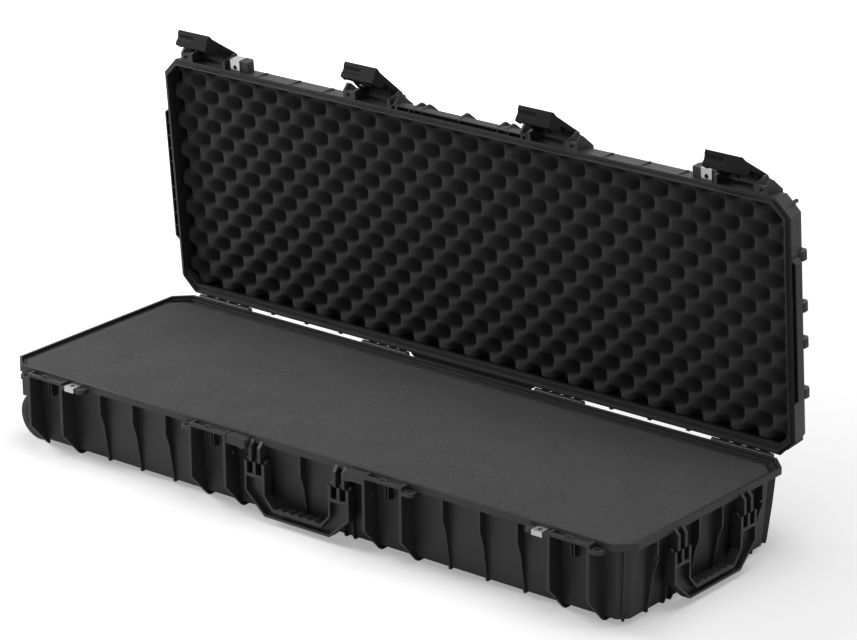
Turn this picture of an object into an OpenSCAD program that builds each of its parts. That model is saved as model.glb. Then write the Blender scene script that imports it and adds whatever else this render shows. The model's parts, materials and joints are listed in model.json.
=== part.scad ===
// Long hard case with a hinged lid, shown open: a ribbed tub and a shallow lid on a four-part
// hinge, four swing latches, two drop handles, two wheels, a foam block in the tub and
// convoluted foam in the lid. Millimetres, +Z up, +X along the length, the front faces -Y.
// The origin lies on the floor under the middle of the tub.

/* [Case] */
// Length over the rim
case_l = 1180; // [1100:10:1400]
// Width over the rim
case_w = 398; // [350:2:480]
// Leg of the cut corners of the rim
corner_cut = 25; // [20:1:40]
// Height of the rim plane above the ground
base_h = 130; // [126:1:156]
// Depth of the lid from the rim plane to its flat top
lid_h = 40; // [38:1:60]
// Thickness of the moulded walls
wall = 4; // [3:0.25:5]
// Gap between the closed lid and the tub
lid_gap = 0.3; // [0.2:0.1:1]
// How far the lid stands over the tub's rim at the front and the ends
lid_over = 2.5; // [0:0.5:4]
// Angle at which the lid stands open
lid_open = 85.5; // [70:0.5:95]

/* [Tub] */
// Height of the rim band
band_h = 11; // [10:0.5:14]
// How far the wall lies in from the rim edge below the band
wall_in_top = 12; // [10:0.5:14]
// How far the wall lies in from the rim edge at the bottom
wall_in_low = 20; // [16:0.5:24]
// Extra step-in of the rear wall, under the hinge
rear_step = 10; // [8:0.5:14]
// Height of the tub's underside above the ground, on the feet of the deep ribs
foot_h = 9; // [7:0.5:11]
// Width of the outer lip of the rim
lip_w = 3.5; // [3:0.1:4]
// Width of the sealing groove beside the lip
groove_w = 3.5; // [3.2:0.1:4]
// Depth of the sealing groove
groove_d = 7; // [6.5:0.1:8]

/* [Ribs] */
// Thickness of the thin ribs
rib_t = 3.5; // [2.5:0.25:5]
// Pitch of the thin ribs in each group of three
rib_pitch = 67; // [60:1:72]
// How far each group of thin ribs lies in from halfway between its two latches
rib_shift = 1; // [-5:1:5]
// Height of a thin rib's bend above the floor
rib_bend = 88; // [80:1:96]
// Thickness of the deep latch ribs
fin_t = 5; // [4:0.5:6]
// How far the deep latch ribs stand out of the rim
fin_out = 15; // [14.5:0.5:18]
// Height above the floor at which a deep rib slopes back
fin_kink = 41; // [34:1:50]

/* [Latches] */
// Distance from the middle to the inner latches
latch_in = 167; // [165:1:172]
// Distance from the ends of the rim to the outer latches
latch_from_end = 91; // [90:1:96]
// Clear width between the two deep ribs of a latch
latch_bay = 63; // [60:1:66]
// Length of a latch lever
lever_l = 78; // [74:1:84]
// Play of a lever between its ribs, each side
lever_play = 0.5; // [0.3:0.1:1]
// Depth of the finger block at the lever's free end
lever_end = 22; // [18:0.5:24]
// Height of the latch pivot over the rim plane
pivot_up = 26; // [24:0.5:28]
// Angle at which the first lever from the left stands open from its closed place
latch_open_1 = 36.5; // [0:0.5:60]
// Angle at which the second lever stands open
latch_open_2 = 44; // [0:0.5:60]
// Angle at which the third lever stands open
latch_open_3 = 38.5; // [0:0.5:60]
// Angle at which the fourth lever stands open
latch_open_4 = 36; // [0:0.5:60]
// Radius of the latch pivot pins
latch_pin_r = 2; // [1.5:0.1:2.5]
// Radius of the hook pins
hook_pin_r = 1.5; // [1.2:0.1:2]

/* [Handles] */
// Half of the width over a handle
handle_half = 99.8; // [96:0.2:102]
// Height of a handle from its pivot to the bottom of its grip
handle_drop = 81.5; // [74:0.5:82]
// Thickness of a handle
handle_t = 16; // [14:0.5:18]
// Height of the grip bar
grip_h = 16; // [14:0.5:18]
// Radius of the handle pins
handle_pin_r = 2.2; // [1.8:0.1:2.6]

/* [Wheels] */
// Radius of a wheel
wheel_r = 38; // [32:0.5:40]
// Width of a wheel
wheel_w = 26; // [22:1:30]
// Radius of the axles
axle_r = 4; // [3:0.5:5]

/* [Hinge] */
// Radius of the hinge barrels
barrel_r = 4.8; // [4.4:0.1:4.8]
// Radius of the hinge pins
hinge_pin_r = 2.4; // [2:0.1:2.8]
// Distance of the hinge axis behind the rim edge
hinge_back = 4.4; // [4.4:0.1:6]
// Distance of the hinge axis below the rim plane
hinge_down = 2.3; // [2.3:0.1:3]
// Number of knuckles in a hinge group, tub and lid together
knuckles = 9; // [5:2:13]

/* [Foam] */
// Depth of the tub's foam below the rim plane
foam_down = 4; // [3:0.5:8]
// Half of the distance between neighbouring peaks of the lid's foam along a row
foam_cell = 24.5; // [20:0.5:30]
// Height of the peaks of the lid's foam over its valleys
foam_wave = 18; // [12:1:22]

/* [Hidden] */
LATCHES = [1, 2, 3, 4];
$fn = 48;

plastic = [0.045, 0.045, 0.048];
dark_foam = [0.05, 0.05, 0.052];
grey_foam = [0.09, 0.09, 0.095];
steel = [0.72, 0.72, 0.72];
rubber = [0.03, 0.03, 0.03];

thin = 0.02;
play = 0.05;
seat = 0.3;
rim_z = base_h;
band_z = base_h - band_h;
front_y = -case_w/2;
floor_top = foot_h + wall;
thin_low = foot_h - 3;
ledge_z = rim_z - 9;
ridge_w = 2.2;
ridge_in = lip_w + groove_w;
foam_in = ridge_in + ridge_w + 0.5;
foam_rear = 14;
latch_out = case_l/2 - latch_from_end;
stations = [-latch_out, -latch_in, latch_in, latch_out];
latch_open = [latch_open_1, latch_open_2, latch_open_3, latch_open_4];
fin_x = latch_bay/2 + fin_t/2;
fin_y = -fin_out;
rib_group = (latch_in + latch_out)/2 - rib_shift;
rib_rows = [for (side = [-1, 1], n = [-1, 0, 1]) side*(rib_group + n*rib_pitch)];
side_ribs = [-128, -28, 28, 128];
lid_end_ribs = [-107, -28, 28, 107];

// ---- outlines and shells ----

// Cut-corner rectangle, drawn in by inset all round and by rear more at the back
module outline(inset, rear = 0) {
    x = case_l/2 - inset;
    yf = -case_w/2 + inset;
    yr = case_w/2 - inset - rear;
    c = corner_cut - inset*(2 - sqrt(2));
    polygon([[-x + c, yf], [x - c, yf], [x, yf + c], [x, yr - c],
             [x - c, yr], [-x + c, yr], [-x, yr - c], [-x, yf + c]]);
}

module ring(inset, width, rear = 0) {
    difference() {
        outline(inset, rear);
        outline(inset + width, rear);
    }
}

// Drafted box between two insets at two heights
module drafted(inset_a, z_a, inset_b, z_b, rear = 0) {
    hull() {
        translate([0, 0, z_a]) linear_extrude(thin) outline(inset_a, rear);
        translate([0, 0, z_b - thin]) linear_extrude(thin) outline(inset_b, rear);
    }
}

// A flat plate in the YZ plane, t thick, centred on x; points are [y, z] with y = 0 at the rim
module fin(x, t, points) {
    translate([x - t/2, 0, 0])
        rotate([90, 0, 90]) linear_extrude(t) polygon(points);
}

// Places children with the rim face at y = 0 on the front, or on the right-hand end
module at_front() { translate([0, front_y, 0]) children(); }
module at_end() { rotate([0, 0, 90]) translate([0, -case_l/2, 0]) children(); }
module at_rear() { rotate([0, 0, 180]) translate([0, front_y, 0]) children(); }
module at_left() { rotate([0, 0, -90]) translate([0, -case_l/2, 0]) children(); }

// ---- the tub ----

// Thin rib: stands under the band, bends in and runs to a small foot
module thin_rib(x, rear = 0) {
    low = wall_in_low + rear;
    top = wall_in_top + rear;
    fin(x, rib_t, [
        [top + 2, band_z + 1], [0, band_z + 1], [0, rib_bend],
        [7 + rear*0.6, rib_bend - 20], [low - 4, thin_low + 8], [low - 2.5, thin_low],
        [low + 20, thin_low], [low + 20, foot_h + 1], [low + 2, foot_h + 1]]);
}

// Deep rib beside a latch: upright, then sloping back to a rounded foot
module deep_rib(x, top_z) {
    back = wall_in_low;
    fin(x, fin_t, [
        [wall_in_top + 2, top_z], [fin_y, top_z], [fin_y, fin_kink],
        [back + 0.5, 2.2], [back + 2, 0.9], [back + 4, 0.2], [back + 6, 0], [back + 20, 0],
        [back + 20, foot_h + 1], [back + 3, foot_h + 1], [wall_in_top + 3, band_z]]);
    translate([x - fin_t/2, fin_y + 0.9, fin_kink])
        rotate([0, 90, 0]) cylinder(r = 0.9, h = fin_t);
}

tab_t = 6;
tab_top = rim_z - 10;
tab_reach = 21;
pad_top = rim_z - 6.5;
pad_t = 6;
pad_reach = 44;
hole_r = 3.6;
hole_x = fin_x + 11;
hole_y = -8;
plate_x = fin_x + 19;
plate_w = 18.5;
plate_t = 1.5;
tub_lip = 8;
lid_lip = 18;

// Tab with a rounded end and a hole beside a deep rib; dir is the way it reaches
module lock_tab(x, dir, top, t, reach, hole_at) {
    r = 8;
    mirror([dir < 0 ? 1 : 0, 0, 0]) translate([dir*x, 0, top - t]) {
        difference() {
            union() {
                translate([0, fin_y, 0]) cube([reach - r, fin_out + wall_in_top + 1, t]);
                translate([0, fin_y + r, 0]) cube([reach, fin_out - r + wall_in_top + 1, t]);
                translate([reach - r, fin_y + r, 0]) cylinder(r = r, h = t);
            }
            translate([hole_at, hole_y, -1]) cylinder(r = hole_r, h = t + 2);
        }
    }
}

rail_top = rim_z - 3;
rail_h = 5;
rail_d = 5;

// Everything that the front wall carries at one latch; out is the side away from the middle
module tub_station(x) {
    out = x < 0 ? -1 : 1;
    steel_here = abs(x) > (latch_in + latch_out)/2;
    for (side = [-1, 1]) deep_rib(x + side*fin_x, rail_top);
    // latch rail with its two end blocks
    translate([x - fin_x, fin_y, rail_top - rail_h]) cube([2*fin_x, rail_d, rail_h]);
    // small stop with a hole on the middle of the rail
    translate([x, fin_y + rail_d, rail_top - 1]) rotate([90, 0, 0]) linear_extrude(3) difference() {
        polygon([[-10, 0], [-6, 3], [0, 5], [6, 3], [10, 0]]);
        translate([0, 2.2]) circle(1.3, $fn = 24);
    }
    // short pair of ribs under the rail
    for (side = [-1, 1])
        fin(x - 5 + side*2.6, 2, [[wall_in_top + 4, rim_z - 12], [1, rim_z - 12], [3, rim_z - 38],
                                  [wall_in_top + 4, rim_z - 40]]);
    lock_tab(x + out*fin_x, out, tab_top, tab_t, tab_reach, hole_x - fin_x);
    // on the inner side: the shelf under the steel plate, or a plain block beside the handle
    if (steel_here) lock_tab(x - out*fin_x, -out, pad_top, pad_t, pad_reach, plate_x - fin_x);
    else mirror([out > 0 ? 1 : 0, 0, 0]) translate([-out*(x - out*fin_x), 0, 0])
        side_block(rim_z - 4, 14, pad_reach - 4, 8, fin_out - 1);
}

// Block on the wall beside a deep rib, its top rounded down at the far end
module side_block(top, t, reach, r, out) {
    translate([0, wall_in_top + 1, top - t]) rotate([90, 0, 0])
        linear_extrude(out + wall_in_top + 1) {
            square([reach - r, t]);
            square([reach, t - r]);
            translate([reach - r, t - r]) circle(r);
        }
}

ear_t = 6;
prong_t = 5.5;
link_gap = 2.6;
link_pitch = (ear_t + prong_t)/2 + link_gap;
prong_x = [for (n = [0, 2, 4]) handle_half - prong_t/2 - n*link_pitch];
ear_x = [for (n = [1, 3]) handle_half - prong_t/2 - n*link_pitch];
handle_out = 8.8;
pivot_z = rim_z - 38;
pivot_y = 1.7;
ear_r = 6;

// Two ears that carry one end of a handle, running down the wall as thin ribs
module handle_ears() {
    for (side = [-1, 1], x = ear_x) {
        fin(side*x, ear_t, [
            [wall_in_top + 2, rim_z - 5], [1, rim_z - 5], [-handle_out + 1, rim_z - 15],
            [-handle_out + 1, pivot_z], [pivot_y, pivot_z - ear_r],
            [wall_in_top + 4, pivot_z - ear_r - 6]]);
        translate([side*x - ear_t/2, pivot_y, pivot_z])
            rotate([0, 90, 0]) cylinder(r = ear_r, h = ear_t);
        fin(side*x, rib_t, [
            [wall_in_top + 4, pivot_z], [wall_in_top - 4, pivot_z], [wall_in_low - 6, thin_low + 8],
            [wall_in_low - 2.5, thin_low], [wall_in_low + 20, thin_low],
            [wall_in_low + 20, foot_h + 1], [wall_in_low + 2, foot_h + 1]]);
    }
}

pin_reach = 100;
module handle_bores() {
    for (side = [-1, 1])
        translate([side*handle_half - pin_reach/2, pivot_y, pivot_z])
            rotate([0, 90, 0]) cylinder(r = handle_pin_r + play, h = pin_reach);
}

hinge_y = case_w/2 + hinge_back;
hinge_z = rim_z - hinge_down;
hinge_groups = [[-latch_out - 2, 106], [-latch_in - 2, 90], [latch_in + 2, 90], [latch_out + 2, 106]];
knuckle_gap = 0.5;

function knuckle_w(len) = (len + knuckle_gap)/knuckles - knuckle_gap;
function knuckle_x(g, n) = g[0] - g[1]/2 + n*(knuckle_w(g[1]) + knuckle_gap);

// Runs children once for each knuckle of the wanted kind: 0 on the tub, 1 on the lid
module each_knuckle(kind) {
    for (g = hinge_groups, n = [kind : 2 : knuckles - 1])
        translate([knuckle_x(g, n), hinge_y, hinge_z])
            rotate([90, 0, 90]) linear_extrude(knuckle_w(g[1])) children();
}

module tub_knuckles() {
    each_knuckle(0) {
        circle(barrel_r);
        translate([-hinge_back - 1, -barrel_r]) square([hinge_back + 1, barrel_r + hinge_down - 0.4]);
    }
}

// Room in the tub's rim for the lid's knuckles
module tub_knuckle_room() {
    for (g = hinge_groups, n = [1 : 2 : knuckles - 1])
        translate([knuckle_x(g, n) - knuckle_gap, hinge_y, hinge_z])
            rotate([0, 90, 0]) cylinder(r = barrel_r + 0.5, h = knuckle_w(g[1]) + 2*knuckle_gap);
}

module hinge_bores() {
    for (g = hinge_groups)
        translate([g[0] - g[1]/2 - 1, hinge_y, hinge_z])
            rotate([0, 90, 0]) cylinder(r = hinge_pin_r + play, h = g[1] + 2);
}

axle_x = -case_l/2 - 3 + wheel_r;
axle_z = wheel_r + 0.3;
well_r = wheel_r + 3;
wheel_y = case_w/2 - wall_in_low - wall - 1;
well_in = wheel_y - wheel_w - 2;
well_out = wheel_y + 0.8;
arch_x = -latch_out - fin_x - fin_t/2;
arch_in = 2.5;

// Space for one wheel between two distances from the middle, cut off at x_max
module well_slice(side, y0, y1, x_max, grow) {
    mirror([0, side > 0 ? 0 : 1, 0]) intersection() {
        union() {
            translate([axle_x, y1, axle_z]) rotate([90, 0, 0]) cylinder(r = well_r + grow, h = y1 - y0);
            translate([axle_x - 80, y0, -1]) cube([80 + well_r + grow, y1 - y0, axle_z + 1]);
            translate([axle_x - 80, y0, -1]) cube([80, y1 - y0, axle_z + 1 + well_r + grow]);
        }
        translate([axle_x - 90, y0 - 1, -2]) cube([x_max - axle_x + 90, y1 - y0 + 2, base_h]);
    }
}

// Wheel space: open to the end and the floor, and to the front or rear face only under the arch
module wheel_well(side, grow) {
    well_slice(side, well_in - grow, well_out, axle_x + 80, grow);
    well_slice(side, well_out - 1, well_out + 60, arch_x, grow);
}

// Wheel arches: the left-hand corners run down flush with the rim
module wheel_arches() {
    intersection() {
        translate([0, 0, axle_z]) linear_extrude(band_z - axle_z + 1) outline(arch_in);
        for (side = [0, 1]) mirror([0, side, 0])
            translate([-case_l/2, well_in - wall, axle_z])
                cube([arch_x + fin_t/2 + case_l/2, case_w, base_h]);
    }
}

module base_shell() {
    color(plastic) difference() {
        union() {
            difference() {
                union() {
                    drafted(wall_in_low, foot_h, wall_in_top, band_z + 1, rear_step);
                    translate([0, 0, band_z]) linear_extrude(band_h) outline(0);
                    wheel_arches();
                    at_front() {
                        for (x = rib_rows) thin_rib(x);
                        thin_rib(0);
                        for (x = stations) tub_station(x);
                        handle_ears();
                    }
                    at_rear() for (x = concat(rib_rows, [0])) thin_rib(x, rear_step);
                    at_end() {
                        for (x = side_ribs) thin_rib(x);
                        handle_ears();
                    }
                    at_left() for (x = [-28, 28]) thin_rib(x);
                    // runners under the floor
                    for (x = concat(rib_rows, [0]))
                        translate([x - rib_t/2, front_y + wall_in_low + 25, 0])
                            cube([rib_t, case_w - 2*wall_in_low - rear_step - 50, foot_h + 1]);
                    corner_ribs();
                    tub_knuckles();
                }
                drafted(wall_in_low + wall, floor_top, wall_in_top + wall, rim_z, rear_step);
                // rim: lip, sealing groove, ridge and ledge
                translate([0, 0, rim_z - groove_d]) linear_extrude(groove_d + 1) ring(lip_w, groove_w);
                translate([0, 0, rim_z - foam_down]) linear_extrude(foam_down + 1) outline(ridge_in);
                translate([0, 0, ledge_z]) linear_extrude(10) outline(ridge_in + ridge_w);
            }
            // wheel housings inside the tub
            intersection() {
                union() for (side = [-1, 1]) wheel_well(side, wall);
                drafted(wall_in_low, foot_h, wall_in_top, band_z + 1, rear_step);
            }
        }
        for (side = [-1, 1]) wheel_well(side, 0);
        tub_knuckle_room();
        hinge_bores();
        at_front() handle_bores();
        at_end() handle_bores();
        axle_bores();
    }
}

module axle_bores() {
    for (side = [-1, 1])
        translate([axle_x, side*(well_in + 1), axle_z])
            rotate([90*side, 0, 0]) cylinder(r = axle_r + play, h = 20);
}

// Upright ribs across the cut corners on the right-hand end
module corner_ribs() {
    for (side = [-1, 1])
        translate([case_l/2 - corner_cut/2, side*(case_w/2 - corner_cut/2), 0])
            rotate([0, 0, side*45 + 90])
                fin(0, rib_t, [[wall_in_top + 3, band_z + 1], [4, band_z + 1], [9, rib_bend - 20],
                               [wall_in_low - 4, thin_low + 6], [wall_in_low - 2.5, thin_low],
                               [wall_in_low + 15, thin_low], [wall_in_low + 15, foot_h + 1]]);
}

// ---- the lid, built closed and then swung open ----

lid_z = rim_z + lid_gap;
top_z = rim_z + lid_h;
seam_z = rim_z + 18;
edge_h = 28;
lid_in_mid = 1.5;
lid_in_top = 9;
plate_z = lid_z + 7;
lid_block_out = 18.5;
flange_w = 6.8;
flange_rear = 8;
tongue_in = lip_w + 0.5;
tongue_w = groove_w - 1;
tongue_d = 5;
seal_in = 0.6;
seal_w = 2;
lever_y = -15.3;
ear_out = 6;
brow_out = 10;
brow_h = 14;
brow_wall = 2;
brow_half = 112;
brow_pitch = 22;

module in_lid() {
    translate([0, hinge_y, hinge_z]) rotate([-lid_open, 0, 0])
        translate([0, -hinge_y, -hinge_z]) children();
}

// Loft between two insets at two heights, the rear edge set apart
module loft(inset_a, rear_a, z_a, inset_b, rear_b, z_b) {
    hull() {
        translate([0, 0, z_a]) linear_extrude(thin) outline(inset_a, rear_a);
        translate([0, 0, z_b - thin]) linear_extrude(thin) outline(inset_b, rear_b);
    }
}

// Hollow skirt that stands out of the lid's rim over a length, with dividers at each pitch,
// set back from its mouth
module brow(half_len, out, pitch, back = 0.5) {
    n = floor(half_len/pitch);
    translate([0, 0, lid_z]) {
        difference() {
            linear_extrude(brow_h) polygon([[-half_len, 2], [-half_len, -lid_over], [-half_len + 6, -out],
                                            [half_len - 6, -out], [half_len, -lid_over], [half_len, 2]]);
            translate([0, 0, -1]) linear_extrude(brow_h - brow_wall + 1)
                polygon([[-half_len + 2, -lid_over + 0.2], [-half_len + 7, -out + brow_wall],
                         [half_len - 7, -out + brow_wall], [half_len - 2, -lid_over + 0.2]]);
        }
        for (k = [1 : n], side = [-1, 1]) if (k*pitch < half_len - 9)
            translate([side*k*pitch - 0.9, -out + 1, back])
                cube([1.8, out, brow_h - 0.5 - back]);
    }
}

// Rib on the lid's wall: level crest over the drafted wall, rounded at its far end
module lid_rib(x) {
    fin(x, rib_t, [[4, lid_z + 1], [-lid_over - 0.6, lid_z + 1], [-lid_over + 0.8, rim_z + edge_h - 4],
                   [-0.6, rim_z + edge_h], [4, rim_z + edge_h + 3]]);
}

// Ribs on an end of the lid, each with a block that wraps over the top edge
module end_ribs() {
    for (x = lid_end_ribs) {
        lid_rib(x);
        fin(x, 14, [[6, rim_z + 25], [0.5, rim_z + 25], [-3.5, rim_z + 29], [-3.5, top_z - 2.5],
                    [1.5, top_z + stack_h], [13, top_z + stack_h], [13, top_z - 1]]);
    }
}

// Deep ribs, pivot ears and lock tabs around one latch
module lid_station(x) {
    out = x < 0 ? -1 : 1;
    steel_here = abs(x) > (latch_in + latch_out)/2;
    for (side = [-1, 1]) {
        fin(x + side*fin_x, fin_t, [
            [3, lid_z], [fin_y - 1, lid_z], [fin_y - 3, rim_z + pivot_up - 8],
            [lever_y - ear_out, rim_z + pivot_up], [lever_y, rim_z + pivot_up + ear_out],
            [-10.5, top_z - 1], [lid_in_top + 3, top_z - 0.5], [lid_in_top + 3, lid_z + 12],
            [3, lid_z + 12]]);
        translate([x + side*fin_x - fin_t/2, lever_y, rim_z + pivot_up])
            rotate([0, 90, 0]) cylinder(r = ear_out, h = fin_t);
    }
    // cross wall between the two ribs, hollowed round the lever's swinging end
    difference() {
        fin(x, latch_bay + 2, [[lid_in_top + 2, rim_z + 22], [-1, rim_z + 22], [-9.5, rim_z + pivot_up + 8],
                               [-9.5, top_z - 1.5], [lid_in_top + 2, top_z - 1]]);
        translate([x - latch_bay, lever_y, rim_z + pivot_up])
            rotate([0, 90, 0]) cylinder(r = 12, h = 2*latch_bay);
    }
    lock_tab(x + out*fin_x, out, lid_z + 5, 5, tab_reach, hole_x - fin_x);
    gusset(x + out*(fin_x + tab_reach - 2));
    // the block of the steel plate lies back from the rim plane
    if (steel_here) mirror([out > 0 ? 1 : 0, 0, 0]) translate([-out*(x - out*fin_x), 0, 0])
        difference() {
            side_block(plate_z + 20, 20, pad_reach, 8, lid_block_out);
            translate([plate_x - fin_x, hole_y, plate_z - 1]) cylinder(r = hole_r, h = 22);
        }
    if (!steel_here) gusset(x - out*(fin_x + 14));
}

// Fin that stands out behind a lock tab and slopes back to the lid's top
module gusset(x) {
    fin(x, 4, [[3, lid_z], [fin_y, lid_z], [-24, lid_z + 10], [-21, lid_z + 16], [0, top_z - 1],
               [lid_in_top + 2, top_z - 0.5], [lid_in_top + 2, lid_z + 12], [3, lid_z + 12]]);
}

module lid_knuckles() {
    each_knuckle(1) {
        circle(barrel_r);
        translate([-hinge_back + 0.2, 0]) square([hinge_back + 2, hinge_down + 8]);
        translate([-hinge_back - 1, hinge_down + lid_gap]) square([3, 7.7]);
    }
}

module lid_corner_ribs() {
    for (sx = [-1, 1], sy = [-1, 1])
        translate([sx*(case_l/2 - corner_cut/2), sy*(case_w/2 - corner_cut/2), 0])
            rotate([0, 0, atan2(sy, sx) + 90]) {
                fin(0, 5, [[6, lid_z + 2], [-1.5, lid_z + 2], [-1.5, top_z - 3],
                           [1, top_z + 1.5], [12, top_z + 1.5], [12, top_z - 1]]);
                translate([0, 1.5, top_z - 1]) sphere(r = 3);
            }
}

// Raised stacking bars across the lid's top, their ends wrapping over the edge
stack_h = 3;
module stack_bars() {
    for (x = rib_rows)
        translate([x - 3, front_y + lid_in_top + 4, top_z - 1])
            cube([6, case_w - 2*lid_in_top - 8, stack_h + 1]);
    for (y = lid_end_ribs)
        at_line(y) translate([0, 0, top_z - 1]) cube([46, 10, stack_h + 1]);
}

module at_line(y) {
    for (sx = [0, 1]) mirror([sx, 0, 0])
        translate([case_l/2 - lid_in_top - 50, y - 5, 0]) children();
}

// Small nubs behind the lid's rear wall, between the hinge groups
module rear_nubs() {
    for (side = [-1, 1], n = [-1 : 1])
        translate([side*(latch_in + latch_out)/2 + n*70 - 3, case_w/2 - 1, lid_z])
            cube([6, 3.5, 5]);
}

module lid_solid() {
    difference() {
        union() {
            difference() {
                union() {
                    loft(-lid_over, lid_over, lid_z, lid_in_mid, 0, rim_z + edge_h);
                    loft(lid_in_mid, 0, rim_z + edge_h - 1, lid_in_mid + 2, 0, top_z - 5);
                    loft(lid_in_mid + 2, 0, top_z - 6, lid_in_top, 0, top_z);
                    at_front() {
                        for (x = rib_rows) lid_rib(x);
                        for (x = stations) lid_station(x);
                        brow(latch_in - fin_x - fin_t/2 + 1, brow_out, 94);
                        for (x = [-87, -72, 0, 72, 87]) lid_gusset_rib(x);
                    }
                    at_end() {
                        brow(brow_half, brow_out, brow_pitch, 6);
                        end_ribs();
                    }
                    at_left() {
                        brow(brow_half, brow_out, brow_pitch);
                        end_ribs();
                    }
                    at_rear() brow(latch_in - 48, brow_out - 4, 36);
                    lid_corner_ribs();
                    stack_bars();
                    lid_knuckles();
                    rear_nubs();
                }
                // hollow behind the flange
                loft(lid_in_mid + wall - 2, 2, rim_z + 8, lid_in_top + wall - 5, 2, top_z - wall);
                translate([0, 0, lid_z - 1]) linear_extrude(12) outline(flange_w, flange_rear);
                translate([0, 0, lid_z - 1]) linear_extrude(3) ring(seal_in, seal_w + 0.2);
            }
            // sealing tongue
            translate([0, 0, rim_z - tongue_d]) linear_extrude(tongue_d + 2) ring(tongue_in, tongue_w);
        }
        hinge_bores();
        at_front() for (x = stations)
            translate([x - fin_x - fin_t, lever_y, rim_z + pivot_up])
                rotate([0, 90, 0]) cylinder(r = latch_pin_r + play, h = 2*fin_x + 2*fin_t);
    }
}

// The lid is two mouldings that meet at the seam: the frame round the rim and the top panel
module lid_frame() {
    color(plastic) in_lid() intersection() {
        lid_solid();
        translate([-case_l, -case_w, -1]) cube([2*case_l, 2*case_w, seam_z + 1]);
    }
}

module lid_panel() {
    color(plastic) in_lid() intersection() {
        lid_solid();
        translate([-case_l, -case_w, seam_z]) cube([2*case_l, 2*case_w, case_w]);
    }
}

// Triangular fins over the front brow, running back onto the lid's top
module lid_gusset_rib(x) {
    fin(x, rib_t, [[3, lid_z + 6], [-brow_out + 1, lid_z + 0.5], [-brow_out - 0.8, lid_z + 4],
                   [-brow_out - 2.5, rim_z + 24], [-brow_out, rim_z + 28], [3, top_z + 2],
                   [lid_in_top + 4, top_z + 2], [lid_in_top + 4, top_z - 1]]);
}

module rim_seal() {
    color(rubber) in_lid()
        translate([0, 0, rim_z + 0.1]) linear_extrude(2.1) ring(seal_in + 0.1, seal_w);
}

// ---- hinge pins ----

module hinge_pins() {
    color(steel) for (g = hinge_groups)
        translate([g[0] - g[1]/2, hinge_y, hinge_z])
            rotate([0, 90, 0]) cylinder(r = hinge_pin_r, h = g[1]);
}

// ---- latches, built closed about the pivot at y = 0, z = 0, the lever hanging down ----

strip = 8;
pin_u = 8;
lever_w = latch_bay - 2*lever_play;
hook_u = 50;
hook_v = 14.5;
block_u = lever_l - 16;
cheek_t = 4;

module in_latch(k) {
    in_lid() translate([stations[k - 1], front_y + lever_y, rim_z + pivot_up])
        rotate([-latch_open[k - 1], 0, 0]) children();
}

// [u, v] of the lever's side view to [y, z]: u down from the top end, v in from the outer face
function uv(u, v) = [v - strip, pin_u - u];

module side_plate(x, t, points) {
    translate([x - t/2, 0, 0]) rotate([90, 0, 90]) linear_extrude(t)
        polygon([for (p = points) uv(p[0], p[1])]);
}

module latch_lever(k) {
    groove_share = 0.58;
    color(plastic) in_latch(k) difference() {
        union() {
            // outer plate
            side_plate(0, lever_w, [[2, 0], [lever_l - 1, 0], [lever_l, 1], [lever_l, 3.5],
                                    [0, 3.5], [0, 2]]);
            // finger block with its proud lip
            side_plate(0, lever_w, [[block_u, 1], [lever_l - 2, -2], [lever_l + 1, -1.5],
                                    [lever_l, 4], [lever_l - 4, lever_end], [block_u, lever_end]]);
            for (side = [-1, 1]) translate([side*(lever_w - cheek_t)/2, 0, 0]) {
                // cheek: outer strip, pivot boss, strut and inner strip round the windows
                side_plate(0, cheek_t, [[0, 0.5], [block_u + 1, 0.5], [block_u + 1, strip],
                                        [2, strip], [0, strip - 1]]);
                side_plate(0, cheek_t, [[4, strip - 1], [12, 15], [33, 15.5], [33, 13.5],
                                        [16, 12], [12, strip - 1]]);
                side_plate(0, cheek_t, [[30, strip - 1], [33, strip - 1], [33, 15.5], [30, 15]]);
                rotate([0, 90, 0]) cylinder(r = 6.5, h = cheek_t, center = true);
                // lugs for the hook pin
                side_plate(0, cheek_t, [[block_u + 1, strip - 1], [hook_u - 3, strip - 1],
                                        [hook_u - 3, hook_v + 2], [block_u + 1, lever_end - 1]]);
            }
            // cross rib between the cheeks
            side_plate(0, lever_w - 2, [[14, 2], [16.5, 2], [16.5, 9], [14, 9]]);
        }
        // concave finger groove over part of the end
        translate([-lever_w/2 - 1, lever_end/2 - strip + 1, pin_u - lever_l - 6])
            rotate([0, 90, 0]) cylinder(r = 9.5, h = lever_w*groove_share);
        // the block is hollow behind the groove on its other part
        side_plate(0, lever_w - 2*cheek_t, [[block_u - 1, 6], [block_u + 5, 6],
                                            [block_u + 5, lever_end + 1], [block_u - 1, lever_end + 1]]);
        translate([-lever_w, 0, 0]) rotate([0, 90, 0])
            cylinder(r = latch_pin_r + play, h = 2*lever_w);
        translate([-lever_w/2 - 1, hook_v - strip, pin_u - hook_u]) rotate([0, 90, 0])
            cylinder(r = hook_pin_r + play, h = lever_w + 2);
    }
}

hook_w = 46;
module latch_hook(k) {
    nose_u = pin_u + pivot_up + (rim_z - rail_top) + rail_h + 1;
    color(plastic) in_latch(k) difference() {
        union() {
            translate([-hook_w/2, hook_v - strip, pin_u - hook_u]) rotate([0, 90, 0])
                cylinder(r = 4, h = hook_w);
            side_plate(0, hook_w, [[nose_u, strip + 1.5], [nose_u + 3, strip + 1], [hook_u, hook_v - 4],
                                   [hook_u + 1, hook_v + 3.8], [nose_u + 2.5, hook_v + 4],
                                   [nose_u, hook_v + 1]]);
            for (side = [-1, 1])
                side_plate(side*15, 3, [[hook_u - 2, hook_v + 2], [hook_u + 8, hook_v + 3],
                                        [hook_u + 6, hook_v + 7], [nose_u, hook_v + 8]]);
        }
        translate([-hook_w, hook_v - strip, pin_u - hook_u]) rotate([0, 90, 0])
            cylinder(r = hook_pin_r + play, h = 2*hook_w);
    }
}

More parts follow.
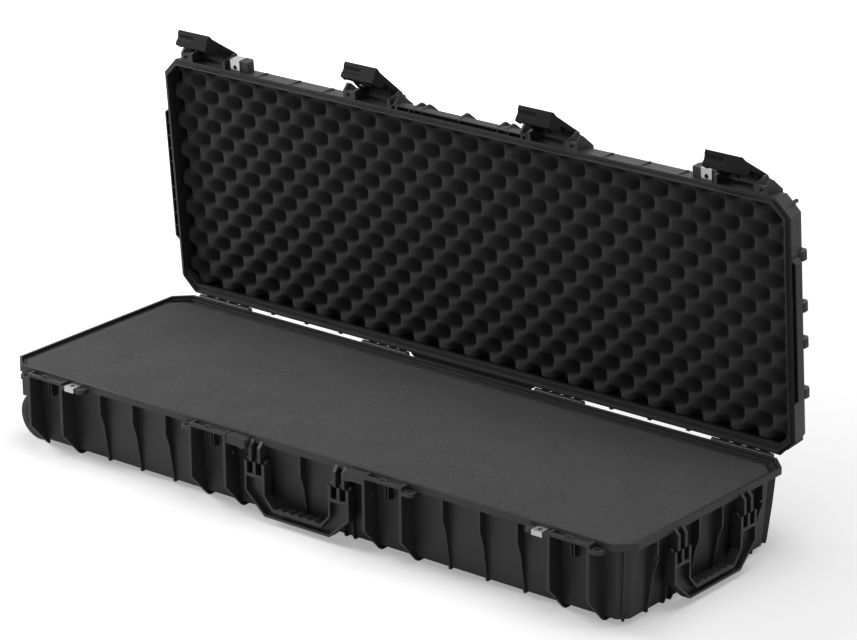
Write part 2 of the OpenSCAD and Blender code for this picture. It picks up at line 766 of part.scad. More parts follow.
module hook_pin(k) {
    color(steel) in_latch(k)
        translate([-lever_w/2 + 0.5, hook_v - strip, pin_u - hook_u]) rotate([0, 90, 0])
            cylinder(r = hook_pin_r, h = lever_w - 1);
}

module latch_pins() {
    color(steel) for (k = LATCHES) in_latch(k)
        translate([-fin_x - fin_t/2, 0, 0]) rotate([0, 90, 0])
            cylinder(r = latch_pin_r, h = 2*fin_x + fin_t);
}

// ---- steel plates of the padlock holes ----

// Bent plate: a flat with a hole, from y = -start to -reach, and a lip lip_h deep
module lock_plate(start, reach, lip_h) {
    difference() {
        translate([-plate_w/2, 0, 0]) {
            translate([0, -reach - plate_t, 0]) cube([plate_w, reach + plate_t - start, plate_t]);
            translate([0, -reach - plate_t, plate_t - lip_h]) cube([plate_w, plate_t, lip_h]);
        }
        translate([0, hole_y, -1]) cylinder(r = hole_r, h = plate_t + 2);
    }
}

module base_lock_plates() {
    color(steel) at_front() for (side = [-1, 1])
        translate([side*(latch_out - plate_x), 0, pad_top + play])
            lock_plate(0.1, fin_out + play, tub_lip);
}

module lid_lock_plates() {
    color(steel) in_lid() at_front() for (side = [-1, 1])
        translate([side*(latch_out - plate_x), 0, plate_z - play])
            mirror([0, 0, 1]) lock_plate(lid_over, lid_block_out + play, lid_lip);
}

// ---- drop handles ----

grip_low = pivot_z - handle_drop;
arm_straight = 48;
web_down = 24;
arm_bend = pivot_z - arm_straight;
web_z = pivot_z - web_down;
web_h = 5;
channel_d = 9;
channel_rim = 3.5;
bump_r = 9;

// Front view of a handle, drawn in from its outline by inset
module handle_outline() {
    inner = handle_half - 4*link_pitch - prong_t;
    polygon([[-handle_half, pivot_z], [-handle_half, arm_bend], [-62, grip_low], [62, grip_low],
             [handle_half, arm_bend], [handle_half, pivot_z], [inner, pivot_z],
             [inner, arm_bend - 1], [inner - 16, grip_low + grip_h], [-inner + 16, grip_low + grip_h],
             [-inner, arm_bend - 1], [-inner, pivot_z]]);
}

module handle_channel() {
    inner = handle_half - 4*link_pitch - prong_t;
    r = channel_rim;
    polygon([[-handle_half + r, web_z], [-handle_half + r, arm_bend + r*0.4],
             [-62 + r*0.4, grip_low + r], [62 - r*0.4, grip_low + r],
             [handle_half - r, arm_bend + r*0.4], [handle_half - r, web_z],
             [inner + r, web_z], [inner + r, arm_bend - r*0.4],
             [inner - 16 + r*0.4, grip_low + grip_h - 1.5*r],
             [-inner + 16 - r*0.4, grip_low + grip_h - 1.5*r],
             [-inner - r, arm_bend - r*0.4], [-inner - r, web_z]]);
}

// A handle at its rim face, y = 0 at the rim edge
module drop_handle() {
    inner = handle_half - 4*link_pitch - prong_t;
    grip_top = grip_low + grip_h;
    color(plastic) difference() {
        union() {
            translate([0, -handle_out + handle_t, 0]) rotate([90, 0, 0])
                linear_extrude(handle_t) handle_outline();
            for (side = [-1, 1], x = prong_x)
                translate([side*x - prong_t/2, pivot_y, pivot_z]) rotate([0, 90, 0])
                    cylinder(r = 5, h = prong_t);
            // finger bumps on the grip
            intersection() {
                for (n = [-2 : 2])
                    translate([n*16, -handle_out + handle_t, grip_top - bump_r + 2.6])
                        rotate([90, 0, 0]) cylinder(r = bump_r, h = handle_t);
                translate([-45, -handle_out, grip_low + 4]) cube([90, handle_t, grip_h + 4]);
            }
        }
        // slots between the prongs
        for (side = [-1, 1], x = ear_x)
            translate([side*x - ear_t/2 - link_gap, -handle_out - 1, web_z + web_h])
                cube([ear_t + 2*link_gap, handle_t + 2, 60]);
        // corners behind and before the prongs' round ends
        for (side = [-1, 1]) translate([side*(handle_half + inner)/2 - 25, 0, pivot_z]) {
            translate([0, pivot_y + 5, -3]) cube([50, 10, 10]);
            translate([0, -handle_out - 1, 0]) cube([50, handle_out + pivot_y - 4, 10]);
        }
        // channel round the front
        translate([0, -handle_out + channel_d, 0]) rotate([90, 0, 0])
            linear_extrude(channel_d + 1) handle_channel();
        for (side = [-1, 1])
            translate([side*handle_half - 50, pivot_y, pivot_z]) rotate([0, 90, 0])
                cylinder(r = handle_pin_r + play, h = 100);
    }
}

module front_handle() { at_front() drop_handle(); }
module side_handle() { at_end() drop_handle(); }

module handle_pin_pair() {
    inner = handle_half - 4*link_pitch - prong_t;
    color(steel) for (side = [-1, 1])
        translate([side > 0 ? inner : -handle_half, pivot_y, pivot_z])
            rotate([0, 90, 0]) cylinder(r = handle_pin_r, h = handle_half - inner);
}

module front_handle_pins() { at_front() handle_pin_pair(); }
module side_handle_pins() { at_end() handle_pin_pair(); }

// ---- wheels ----

module wheel(side) {
    color(rubber) translate([axle_x, side*wheel_y, axle_z]) rotate([90*side, 0, 0])
        rotate_extrude($fn = 96) polygon([
            [axle_r + play, 3], [10, 3], [12, 1], [wheel_r*0.66, 1], [wheel_r*0.72, 0],
            [wheel_r - 2, 0], [wheel_r, 2], [wheel_r, wheel_w - 2], [wheel_r - 2, wheel_w],
            [axle_r + play, wheel_w]]);
}

module wheel_front() { wheel(-1); }
module wheel_rear() { wheel(1); }

module wheel_axles() {
    color(steel) for (side = [-1, 1])
        translate([axle_x, side*(wheel_y - 2.7), axle_z]) rotate([90*side, 0, 0]) {
            cylinder(r = axle_r, h = wheel_w + wall);
            translate([0, 0, -2.5]) cylinder(r = axle_r + 3, h = 2.5);
        }
}

// ---- foam ----

module base_foam() {
    depth = rim_z - foam_down;
    gap = 0.8;
    color(grey_foam) difference() {
        union() {
            drafted(wall_in_low + wall + gap, floor_top + seat, wall_in_top + wall + gap,
                    ledge_z + 1, rear_step);
            translate([0, 0, ledge_z + seat]) linear_extrude(depth - ledge_z - seat)
                outline(foam_in, foam_rear);
        }
        for (side = [-1, 1])
            well_slice(side, well_in - wall - gap, well_out + 60, axle_x + 80, wall + gap);
    }
}

foam_gap = 1.5;
foam_l = case_l - 2*(flange_w + foam_gap);
foam_w = case_w - 2*(flange_w + foam_gap) - flange_rear;
foam_y = -flange_rear/2;
foam_corner = (corner_cut - (flange_w + foam_gap)*(2 - sqrt(2)))/2;
foam_back = top_z - wall - seat;
foam_tip = rim_z + 15;

// Convoluted pad: peaks and valleys stand on the corners of a chequered grid
module lid_foam() {
    nx = round(foam_l/foam_cell);
    ny = round(foam_w/foam_cell);
    dx = foam_l/nx;
    dy = foam_w/ny;
    // the four corner points move in to clear the lid's cut corners
    function corner(i, j) = (i == 0 || i == nx) && (j == 0 || j == ny) ? foam_corner : 0;
    function px(i, j) = -foam_l/2 + i*dx + corner(i, j)*(i == 0 ? 1 : -1);
    function py(i, j) = foam_y - foam_w/2 + j*dy + corner(i, j)*(j == 0 ? 1 : -1);
    function at(i, j) = j*(nx + 1) + i;
    function even(i, j) = (i + j) % 2 == 0;
    border = concat([for (i = [0 : nx - 1]) [i, 0]], [for (j = [0 : ny - 1]) [nx, j]],
                    [for (i = [nx : -1 : 1]) [i, ny]], [for (j = [ny : -1 : 1]) [0, j]]);
    count = len(border);
    total = (nx + 1)*(ny + 1);
    front = [for (j = [0 : ny], i = [0 : nx])
        [px(i, j), py(i, j), even(i, j) ? foam_tip : foam_tip + foam_wave]];
    back = [for (b = border) [px(b[0], b[1]), py(b[0], b[1]), foam_back]];
    cells = [for (j = [0 : ny - 1], i = [0 : nx - 1], half = [0, 1])
        even(i, j)
            ? (half == 0 ? [at(i, j), at(i + 1, j), at(i, j + 1)]
                         : [at(i + 1, j), at(i + 1, j + 1), at(i, j + 1)])
            : (half == 0 ? [at(i, j), at(i + 1, j), at(i + 1, j + 1)]
                         : [at(i, j), at(i + 1, j + 1), at(i, j + 1)])];
    function edge(k) = at(border[k % count][0], border[k % count][1]);
    sides = [for (k = [0 : count - 1], half = [0, 1])
        half == 0 ? [edge(k + 1), edge(k), total + k]
                  : [edge(k + 1), total + k, total + (k + 1) % count]];
    lid_face = [for (k = [0 : count - 1]) [total + (k + 1) % count, total + k, total + count]];
    color(dark_foam) in_lid()
        polyhedron(points = concat(front, back, [[0, foam_y, foam_back]]), convexity = 8,
                   faces = concat(cells, sides, lid_face));
}

base_shell();
lid_frame();
lid_panel();
rim_seal();
base_foam();
lid_foam();
hinge_pins();
for (k = LATCHES) {
    latch_lever(k);
    latch_hook(k);
    hook_pin(k);
}
latch_pins();
lid_lock_plates();
base_lock_plates();
front_handle();
side_handle();
front_handle_pins();
side_handle_pins();
wheel_front();
wheel_rear();
wheel_axles();
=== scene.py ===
# %% [markdown] # A long hard case, open The real object is a moulded black case about 1.2 m
# long. Its tub holds a plain grey foam block and its lid holds a sheet of convoluted foam.

# %% Load the frame
import bpy, bmesh, json, math
import numpy as np
from mathutils import Matrix, Vector


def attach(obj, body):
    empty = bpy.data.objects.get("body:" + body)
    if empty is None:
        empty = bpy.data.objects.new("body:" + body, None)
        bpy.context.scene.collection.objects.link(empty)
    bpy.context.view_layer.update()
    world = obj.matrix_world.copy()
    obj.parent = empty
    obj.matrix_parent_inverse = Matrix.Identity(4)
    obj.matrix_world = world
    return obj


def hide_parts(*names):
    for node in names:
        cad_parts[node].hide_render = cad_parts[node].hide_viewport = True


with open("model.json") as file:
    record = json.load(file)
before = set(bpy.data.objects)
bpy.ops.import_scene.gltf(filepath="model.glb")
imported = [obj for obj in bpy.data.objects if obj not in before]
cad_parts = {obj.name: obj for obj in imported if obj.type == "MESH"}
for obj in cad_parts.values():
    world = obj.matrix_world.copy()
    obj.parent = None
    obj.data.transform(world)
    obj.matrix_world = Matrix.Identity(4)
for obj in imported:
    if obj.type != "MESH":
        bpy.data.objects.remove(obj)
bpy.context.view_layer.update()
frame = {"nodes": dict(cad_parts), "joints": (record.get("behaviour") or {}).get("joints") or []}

nodes = frame["nodes"]
print("rigid and soft nodes:", len(nodes))

# %% [markdown]
# ## Sizes that the soft pieces follow
# The lid is drawn shut and then swung open about the hinge, as in the CAD model. Anything that
# lies in the lid is therefore built flat, with its depth along Z, and turned afterwards. The
# CAD model's own foam, turned shut again, says how much room the lid has for it. All lengths
# are in metres.

# %% The hinge and the lid's swing
hinge = next(j for j in frame["joints"] if j["name"] == "lid_hinge")
hinge_at = np.array(hinge["pos_m"])
swing = math.radians(-hinge["range_deg"][1])

def about_hinge(points, angle):
    """The points, turned about the hinge's axis."""
    turn = np.array(Matrix.Rotation(angle, 3, "X"))
    return (np.asarray(points) - hinge_at) @ turn.T + hinge_at

def points_of(mesh):
    """The mesh's points, one row for each."""
    flat = np.empty(len(mesh.vertices) * 3)
    mesh.vertices.foreach_get("co", flat)
    return flat.reshape(-1, 3)

shut_foam = about_hinge(points_of(nodes["lid_foam"].data), -swing)
foam_low, foam_high = shut_foam.min(axis=0), shut_foam.max(axis=0)
print("the lid opens by", round(-math.degrees(swing), 1), "degrees")
print("room for its foam:", (foam_high - foam_low).round(4))

# %% [markdown]
# ## A small language for nodes
# Node trees are easier to read as sums. `Wire` wraps one socket, so that `0.4 + 0.2 * grain`
# adds the Math nodes for it. `Nodes` holds a tree of any kind and has one method, `add`, that
# makes any other node from its type, its settings and its sockets.

# %% Wires and trees
class Wire:
    def __init__(self, home, socket):
        self.home, self.socket = home, socket

    def __add__(self, other): return self.home.maths("ADD", self, other)
    def __radd__(self, other): return self.home.maths("ADD", other, self)
    def __sub__(self, other): return self.home.maths("SUBTRACT", self, other)
    def __rsub__(self, other): return self.home.maths("SUBTRACT", other, self)
    def __mul__(self, other): return self.home.maths("MULTIPLY", self, other)
    def __rmul__(self, other): return self.home.maths("MULTIPLY", other, self)
    def __truediv__(self, other): return self.home.maths("DIVIDE", self, other)
    def __rtruediv__(self, other): return self.home.maths("DIVIDE", other, self)
    def __pow__(self, other): return self.home.maths("POWER", self, other)
    def __rpow__(self, other): return self.home.maths("POWER", other, self)


class Nodes:
    def __init__(self, tree):
        self.tree = tree

    def add(self, kind, settings=None, sockets=None, out=0):
        made = self.tree.nodes.new(kind)
        for key, value in (settings or {}).items():
            if key == "stops":
                self.set_stops(made.color_ramp, value)
            else:
                setattr(made, key, value)
        for key, value in (sockets or {}).items():
            if isinstance(value, Wire):
                self.tree.links.new(value.socket, made.inputs[key])
            else:
                made.inputs[key].default_value = value
        return Wire(self, made.outputs[out])

    def set_stops(self, ramp, stops):
        while len(ramp.elements) < len(stops):
            ramp.elements.new(0.5)
        for stop, (place, grey) in zip(ramp.elements, stops):
            stop.position, stop.color = place, (grey, grey, grey, 1)

    def maths(self, operation, first, second=0.0):
        return self.add("ShaderNodeMath", {"operation": operation}, {0: first, 1: second})

print("node language ready")

# %% [markdown]
# ## What every finish needs
# A finish is a material's tree with a few short names: a noise, a ramp, a mix of two colours,
# and a relief. The relief can start from a Bevel node, which shades a sharp edge as if it were
# rounded. A moulded edge is never quite sharp, and this small glint tells the eye its size.

# %% Finishes
class Finish(Nodes):
    def __init__(self, name, **constants):
        self.material = bpy.data.materials.new(name)
        self.material.use_nodes = True
        super().__init__(self.material.node_tree)
        self.shader = next(n for n in self.tree.nodes if n.type == "BSDF_PRINCIPLED")
        for socket, value in constants.items():
            self.shader.inputs[socket.replace("_", " ")].default_value = value
        self.here = self.add("ShaderNodeTexCoord", out="Object")

    def noise(self, scale, detail=2.0, stretch=None):
        where = self.here
        if stretch:
            where = self.add("ShaderNodeMapping", None, {"Vector": self.here, "Scale": stretch})
        return self.add("ShaderNodeTexNoise", None,
                        {"Vector": where, "Scale": scale, "Detail": detail, "Roughness": 0.6})

    def ramp(self, value, *stops):
        return self.add("ShaderNodeValToRGB", {"stops": stops}, {"Fac": value})

    def mix(self, share, first, second):
        return self.add("ShaderNodeMix", {"data_type": "RGBA"},
                        {0: share, 6: (*first, 1), 7: (*second, 1)}, out=2)

    def paint(self, **wires):
        for socket, value in wires.items():
            self.tree.links.new(value.socket, self.shader.inputs[socket.replace("_", " ")])

    def relief(self, height, depth, edge=None):
        sockets = {"Height": height, "Distance": depth, "Strength": 1.0}
        if edge:
            sockets["Normal"] = self.add("ShaderNodeBevel", {"samples": 4}, {"Radius": edge})
        self.paint(Normal=self.add("ShaderNodeBump", None, sockets))

print("a finish has", [name for name in vars(Finish) if not name.startswith("_")])

# %% [markdown]
# ## Black moulded plastic
# The shell, the latches and the handles are one dark polymer with a fine spark-eroded grain.
# Such plastic has nearly no colour of its own: most of what one sees is a dull reflection of
# the room. So the base colour is almost black, and the roughness carries the finish: a broad
# cloud for handling marks and a fine grain that also lifts the surface a little. The latches
# reflect least of all.

# %% Plastic finishes
moulded_edge = 0.0009
grain_lift = 0.00012

def moulded(name, dark, pale, roughness, grains, gloss=0.45):
    f = Finish(name, Specular_IOR_Level=gloss)
    cloud = f.noise(9, detail=4)
    grain = f.noise(grains)
    scuff = f.ramp(f.noise(60, detail=6), (0.58, 0), (0.72, 1))
    f.paint(Base_Color=f.mix(0.75 * cloud + 0.25 * grain, dark, pale),
            Roughness=roughness - 0.09 + 0.14 * cloud + 0.10 * grain - 0.05 * scuff)
    f.relief(grain, grain_lift, edge=moulded_edge)
    return f.material

shell_plastic = moulded("moulded black shell", dark=(0.0065, 0.0065, 0.007),
                        pale=(0.014, 0.014, 0.015), roughness=0.50, grains=1500)
latch_plastic = moulded("smooth black latch", dark=(0.004, 0.004, 0.0042),
                        pale=(0.009, 0.009, 0.0095), roughness=0.42, grains=2200, gloss=0.08)
grip_plastic = moulded("black handle grip", dark=(0.007, 0.007, 0.0075),
                       pale=(0.014, 0.014, 0.015), roughness=0.42, grains=1800)
tyre_rubber = moulded("black wheel rubber", dark=(0.012, 0.012, 0.012),
                      pale=(0.024, 0.024, 0.024), roughness=0.66, grains=700)
seal_rubber = moulded("black seal rubber", dark=(0.008, 0.008, 0.008),
                      pale=(0.015, 0.015, 0.015), roughness=0.60, grains=900)
print("five dark mouldings")

# %% [markdown]
# ## Steel, satin and blackened
# The bent plates round the padlock holes are bright sheet steel with a satin face. The pins and
# axles are blackened, so they hardly show in the black plastic. Sheet metal shows fine lines
# along the way it was rolled, so the noise is stretched along the length of the case.

# %% Steel finishes
rolled_along_x = (2.0, 30.0, 30.0)
line_lift = 0.00005

def rolled_steel(name, dark, pale, roughness):
    f = Finish(name, Metallic=1.0)
    lines = f.noise(40, detail=4, stretch=rolled_along_x)
    cloud = f.noise(90, detail=3)
    f.paint(Base_Color=f.mix(0.6 * cloud + 0.4 * lines, dark, pale),
            Roughness=roughness + 0.16 * lines + 0.10 * cloud)
    f.relief(lines, line_lift)
    return f.material

plate_steel = rolled_steel("satin steel", dark=(0.40, 0.40, 0.41),
                           pale=(0.58, 0.58, 0.58), roughness=0.26)
pin_steel = rolled_steel("blackened steel", dark=(0.016, 0.016, 0.017),
                         pale=(0.034, 0.034, 0.036), roughness=0.38)
print("two steels")

# %% [markdown]
# ## Two foams
# The block in the tub is cut foam: its sawn cells catch the light as a fine pale speckle. The
# sheet in the lid is darker, and scattered pale flecks in its colour are a painted highlight for
# the glints of its cells. Both are dull, so their detail is in the colour and in a shallow
# relief.

# %% Foam finishes
cut_cell_depth = 0.0009
wave_cell_depth = 0.0008

def cut_foam():
    f = Finish("grey cut foam", Roughness=1.0, Specular_IOR_Level=0.15)
    cells = f.add("ShaderNodeTexVoronoi", {"feature": "F1"}, {"Vector": f.here, "Scale": 420.0})
    speckle = f.noise(520, detail=3)
    cloud = f.noise(14, detail=4)
    tone = 0.55 * speckle + 0.25 * cells + 0.2 * cloud
    shade = f.ramp(tone, (0.28, 0), (0.66, 1))
    f.paint(Base_Color=f.mix(shade, (0.032, 0.032, 0.033), (0.075, 0.075, 0.077)),
            Roughness=0.92 + 0.08 * speckle)
    f.relief(tone, cut_cell_depth)
    return f.material

def wave_foam():
    f = Finish("dark convoluted foam", Roughness=1.0, Specular_IOR_Level=0.12)
    speckle = f.noise(430, detail=3)
    # painted highlight: scattered pale flecks in the colour stand for glints of the foam's cells
    painted_glint = f.ramp(f.noise(260), (0.66, 0), (0.74, 1))
    cloud = f.noise(22, detail=3)
    shade = 0.5 * speckle + 0.3 * cloud + 0.9 * painted_glint
    f.paint(Base_Color=f.mix(shade, (0.018, 0.018, 0.018), (0.066, 0.066, 0.066)),
            Roughness=0.94 + 0.06 * speckle)
    f.relief(speckle + 0.6 * painted_glint, wave_cell_depth)
    return f.material

block_foam, lid_wave_foam = cut_foam(), wave_foam()
print("two foams:", block_foam.name, "and", lid_wave_foam.name)

# %% [markdown]
# ## Dress the rigid pieces
# The CAD nodes keep their meshes. Each only takes the finish that its piece has. The latches
# are found by their names. What is left is a pin or an axle, or a foam solid that a soft piece
# replaces further on.

# %% Finishes onto the CAD nodes
finish_of = {"base_shell": shell_plastic, "lid_frame": shell_plastic, "lid_panel": shell_plastic,
             "rim_seal": seal_rubber, "wheel_front": tyre_rubber, "wheel_rear": tyre_rubber,
             "front_handle": grip_plastic, "side_handle": grip_plastic,
             "lid_lock_plates": plate_steel, "base_lock_plates": plate_steel}
for name, piece in nodes.items():
    if name.startswith(("latch_lever", "latch_hook")):
        finish = latch_plastic
    else:
        finish = finish_of.get(name, pin_steel)
    piece.data.materials.clear()
    piece.data.materials.append(finish)
print("dressed:", len(nodes), "CAD nodes")

# %% [markdown]
# ## The foam block in the tub
# The block is cut to the tub, so its shape is the tub's inside. A copy of the CAD solid has
# that shape and also its cut-outs over the wheels. Merging the copy's loose triangles, joining
# its flat faces and rounding its edges gives the soft cut edge of real foam.

# %% Cut the block
weld = 1e-5
flat_angle, edge_angle, shade_angle = (math.radians(a) for a in (1, 25, 40))
cut_edge = 0.0022

def soft_block(source, name, finish):
    mesh = source.data.copy()
    mesh.name = name
    shape = bmesh.new()
    shape.from_mesh(mesh)
    bmesh.ops.remove_doubles(shape, verts=shape.verts, dist=weld)
    bmesh.ops.dissolve_limit(shape, angle_limit=flat_angle, verts=shape.verts,
                             edges=shape.edges)
    sharp = [e for e in shape.edges if e.calc_face_angle(0) > edge_angle]
    bmesh.ops.bevel(shape, geom=sharp, offset=cut_edge, segments=3, profile=0.5,
                    affect="EDGES", clamp_overlap=True)
    bmesh.ops.triangulate(shape, faces=shape.faces)
    shape.to_mesh(mesh)
    shape.free()
    block = bpy.data.objects.new(name, mesh)
    bpy.context.scene.collection.objects.link(block)
    mesh.materials.clear()
    mesh.materials.append(finish)
    mesh.shade_smooth()
    mesh.set_sharp_from_angle(angle=shade_angle)
    return block

tub_foam = soft_block(nodes["base_foam"], "foam_block", block_foam)
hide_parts("base_foam")
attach(tub_foam, "base")
print("foam block:", len(tub_foam.data.polygons), "faces")

# %% [markdown]
# ## The convoluted sheet in the lid
# This foam is cut by a pair of toothed rollers, so its surface is a rule and not a sculpture:
# peaks and valleys alternate like the fields of a chess board. Geometry Nodes suit that. The
# tree gets named inputs for its sizes. A modifier sets an input by its identifier, so the
# identifiers are kept under the labels.

# %% The tree's inputs
input_kinds = {"Length": "Float", "Width": "Float", "Depth": "Float", "Cells along": "Int",
               "Cells across": "Int", "Steps in a cell": "Int", "Wave": "Float",
               "Seed": "Float", "Foam": "Material"}

def sheet_inputs(face):
    face.new_socket("Geometry", in_out="OUTPUT", socket_type="NodeSocketGeometry")
    return {label: face.new_socket(label, in_out="INPUT",
                                   socket_type="NodeSocket" + kind).identifier
            for label, kind in input_kinds.items()}

print("the sheet's tree takes", list(input_kinds))

# %% [markdown]
# The product of two cosines is 1 on a peak and -1 in a valley. Its fall from the peak, raised
# to a power, gives broad peaks and narrow valleys, and the mean of that and of its own smooth
# step makes the flanks between them steep. A little noise keeps the peaks from being all alike.

# %% The wave
valley_power = 1.9
noise_share = 0.06
noise_scale = 45.0

def ripple(place, length, cells):
    """A cosine along one side of the sheet that turns from 1 to -1 within a cell."""
    share = place / length + 0.5
    return place.home.maths("COSINE", share * cells * math.pi)

def wave_depth(shape, place, take):
    """How far a point of the front lies behind the peaks. Other points stay where they are."""
    x, y, z = (shape.add("ShaderNodeSeparateXYZ", None, {0: place}, out=axis) for axis in "XYZ")
    both = ripple(x, take["Length"], take["Cells along"]) * ripple(y, take["Width"],
                                                                   take["Cells across"])
    share = ((1.0 - both) * 0.5) ** valley_power
    steep = shape.add("ShaderNodeMapRange", {"interpolation_type": "SMOOTHSTEP"},
                      {"Value": share})
    fall = (share + steep) * 0.5
    rough = shape.add("ShaderNodeTexNoise", {"noise_dimensions": "4D"},
                      {"Vector": place, "W": take["Seed"], "Scale": noise_scale, "Detail": 2.0})
    # the front of the sheet is the side of low Z
    front = shape.maths("LESS_THAN", z, 0.0)
    return (fall * take["Wave"] + rough * (take["Wave"] * noise_share)) * front

half_way = 0.5 ** (1 / valley_power)
print("half the depth is reached at", round(half_way, 2), "of the cosines' fall")

# %% [markdown]
# The tree starts from a box that is finely divided along two sides, and moves the points of
# its front back by the wave. Realize Instances and Set Material come last.

# %% The tree of the convoluted sheet
def convoluted_tree():
    tree = bpy.data.node_groups.new("convoluted foam", "GeometryNodeTree")
    identifiers = sheet_inputs(tree.interface)
    shape = Nodes(tree)
    start, end = tree.nodes.new("NodeGroupInput"), tree.nodes.new("NodeGroupOutput")
    take = {label: Wire(shape, start.outputs[label]) for label in identifiers}
    size = shape.add("ShaderNodeCombineXYZ", None,
                     {0: take["Length"], 1: take["Width"], 2: take["Depth"]})
    box = shape.add("GeometryNodeMeshCube", None,
                    {"Size": size, "Vertices Z": 2,
                     "Vertices X": take["Cells along"] * take["Steps in a cell"] + 1.0,
                     "Vertices Y": take["Cells across"] * take["Steps in a cell"] + 1.0})
    place = shape.add("GeometryNodeInputPosition")
    lift = shape.add("ShaderNodeCombineXYZ", None, {2: wave_depth(shape, place, take)})
    moved = shape.add("GeometryNodeSetPosition", None, {"Geometry": box, "Offset": lift})
    solid = shape.add("GeometryNodeRealizeInstances", None, {0: moved})
    dressed = shape.add("GeometryNodeSetMaterial", None, {0: solid, "Material": take["Foam"]})
    tree.links.new(dressed.socket, end.inputs[0])
    print("tree of", len(tree.nodes), "nodes")
    return tree, identifiers

# %% [markdown]
# The tree is run once on an empty mesh and its result is kept as plain geometry. Its four
# corners are then drawn in to the cut corners of the lid, and the sheet is swung open. Soft
# peaks swell a little past the CAD model's straight ones.

# %% Run the tree
cell = 0.0245
wave = 0.0235
steps_in_cell = 6
noise_seed = 4.0

def flat_sheet(length, width, depth, finish):
    tree, identifiers = convoluted_tree()
    carrier = bpy.data.objects.new("sheet carrier", bpy.data.meshes.new("sheet carrier"))
    bpy.context.scene.collection.objects.link(carrier)
    modifier = carrier.modifiers.new("convolutions", "NODES")
    modifier.node_group = tree
    wanted = {"Length": length, "Width": width, "Depth": depth,
              "Cells along": round(length / cell), "Cells across": round(width / cell),
              "Steps in a cell": steps_in_cell, "Wave": wave, "Seed": noise_seed,
              "Foam": finish}
    for label, value in wanted.items():
        modifier[identifiers[label]] = value
    bpy.context.view_layer.update()
    made = carrier.evaluated_get(bpy.context.evaluated_depsgraph_get())
    mesh = bpy.data.meshes.new_from_object(made)
    bpy.data.objects.remove(carrier)
    return mesh

# %% Fit the sheet to the lid
swell = 0.0055
sheet_low = foam_low - np.array((0, 0, swell))
sheet_size = foam_high - sheet_low
sheet_middle = (sheet_low + foam_high) / 2
# |x| + |y| is the same all along a cut corner, and largest there
corner_reach = np.abs(shut_foam - sheet_middle)[:, :2].sum(axis=1).max()

def fitted_sheet(name, finish):
    mesh = flat_sheet(*(float(side) for side in sheet_size), finish)
    points = points_of(mesh)
    # what lies past the diagonal moves back onto it
    past = np.abs(points[:, :2]).sum(axis=1) - corner_reach
    back = np.clip(past, 0, None) / 2
    points[:, :2] -= np.sign(points[:, :2]) * back[:, None]
    mesh.vertices.foreach_set("co", about_hinge(points + sheet_middle, swing).ravel())
    mesh.update()
    mesh.name = name
    sheet = bpy.data.objects.new(name, mesh)
    bpy.context.scene.collection.objects.link(sheet)
    mesh.shade_smooth()
    mesh.set_sharp_from_angle(angle=math.radians(60))
    return sheet

lid_foam = fitted_sheet("convoluted_foam", lid_wave_foam)
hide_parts("lid_foam")
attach(lid_foam, "lid")
print("convoluted sheet:", len(lid_foam.data.polygons), "faces")

# %% [markdown]
# ## Floor
# The case stands on a white studio sweep. The floor is a large pale sheet with a painted glow
# that only rays from the camera see. The glow grows with the distance from the case, so the
# floor ends in pure white, while beside the case it is weaker but still lightens the shadow.

# %% Lay the floor
floor_half = 30
# painted light: camera rays see the floor glow, weakly beside the case and fully white far off
glow_near, glow_far = 0.34, 1.0
near, far = 1.0, 2.2
floor_grey, seen_grey = (0.86, 0.86, 0.86), (0.66, 0.66, 0.66)
black, white = (0.0, 0.0, 0.0), (1.0, 1.0, 1.0)

def white_floor():
    f = Finish("white studio floor", Roughness=0.9, Specular_IOR_Level=0.0,
               Emission_Strength=1.0)
    seen = f.add("ShaderNodeLightPath", out="Is Camera Ray")
    away = f.add("ShaderNodeVectorMath", {"operation": "LENGTH"}, {0: f.here}, out="Value")
    glow = f.add("ShaderNodeMapRange", {"interpolation_type": "SMOOTHSTEP"},
                 {"Value": away, "From Min": near, "From Max": far,
                  "To Min": glow_near, "To Max": glow_far})
    # the camera sees a greyer floor colour, under the painted glow
    f.paint(Base_Color=f.mix(seen, floor_grey, seen_grey),
            Emission_Color=f.mix(seen * glow, black, white))
    mesh = bpy.data.meshes.new("studio_floor")
    corners = [(x * floor_half, y * floor_half, 0)
               for x, y in ((-1, -1), (1, -1), (1, 1), (-1, 1))]
    mesh.from_pydata(corners, [], [(0, 1, 2, 3)])
    mesh.materials.append(f.material)
    floor = bpy.data.objects.new("studio_floor", mesh)
    bpy.context.scene.collection.objects.link(floor)
    return floor

print("floor:", white_floor().name)

# %% [markdown]
# ## Light
# A large lamp stands overhead and a smaller one at the left gives the foam's peaks their dark
# sides. A soft world fills in, at a level at which a colour renders about as it is written.
# The camera, and what the plastic and the steel reflect, see that world as white.

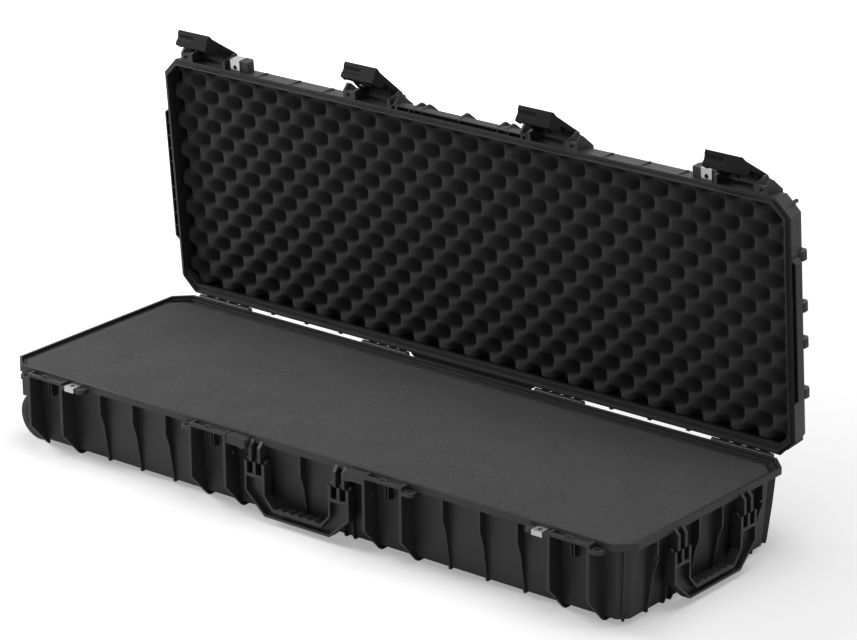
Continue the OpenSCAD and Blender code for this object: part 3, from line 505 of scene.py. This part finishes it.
# %% Lamps and world
def soft_lamp(name, sides, watts, at, towards):
    lamp = bpy.data.lights.new(name, "AREA")
    lamp.shape, lamp.size, lamp.size_y, lamp.energy = "RECTANGLE", *sides, watts
    holder = bpy.data.objects.new(name, lamp)
    holder.location = at
    facing = Vector(towards) - Vector(at)
    holder.rotation_euler = facing.to_track_quat("-Z", "Y").to_euler()
    bpy.context.scene.collection.objects.link(holder)

soft_lamp("overhead softbox", sides=(3.0, 2.4), watts=80, at=(0.35, 0.3, 3.2),
          towards=(0.2, 0, 0.1))
soft_lamp("left softbox", sides=(1.1, 1.1), watts=84, at=(-3.0, -0.9, 1.55),
          towards=(0, 0.1, 0.35))

fill_level, shown_level = 0.24, 1.0
world = bpy.data.worlds.new("studio")
bpy.context.scene.world = world
world.use_nodes = True
sky = Nodes(world.node_tree)
by_camera, by_glossy = (sky.add("ShaderNodeLightPath", out=f"Is {kind} Ray")
                        for kind in ("Camera", "Glossy"))
level = sky.add("ShaderNodeMapRange", None,
                {"Value": sky.maths("MAXIMUM", by_camera, by_glossy),
                 "To Min": fill_level, "To Max": shown_level})
air = sky.tree.nodes["Background"]
air.inputs["Color"].default_value = (1, 1, 1, 1)
sky.tree.links.new(level.socket, air.inputs["Strength"])
bpy.context.scene.view_settings.view_transform = "Standard"
print("lamps:", [lamp.name for lamp in bpy.data.lights])

# %% [markdown]
# ## Camera
# The camera was fitted to the photograph: a long lens from the front right, looking down by
# twenty degrees. Its three axes are written as the columns of its matrix.

# %% Place the camera
stands_at = Vector((3.4389, -4.1440, 2.2493))
right = Vector((0.778570, 0.627523, -0.006596))
up = Vector((-0.211540, 0.272325, 0.938664))
ahead = Vector((-0.590829, 0.729420, -0.344771))

def photo_camera(focal_mm, sensor_mm=36, sees_to=100):
    lens = bpy.data.cameras.new("photo camera")
    lens.sensor_width, lens.lens, lens.clip_end = sensor_mm, focal_mm, sees_to
    camera = bpy.data.objects.new("photo camera", lens)
    turned = Matrix((right, up, -ahead)).transposed().to_4x4()
    camera.matrix_world = Matrix.Translation(stands_at) @ turned
    bpy.context.scene.collection.objects.link(camera)
    bpy.context.scene.camera = camera

photo_camera(focal_mm=163.32)
print("the camera stands", round(stands_at.length, 2), "m from the case's middle")
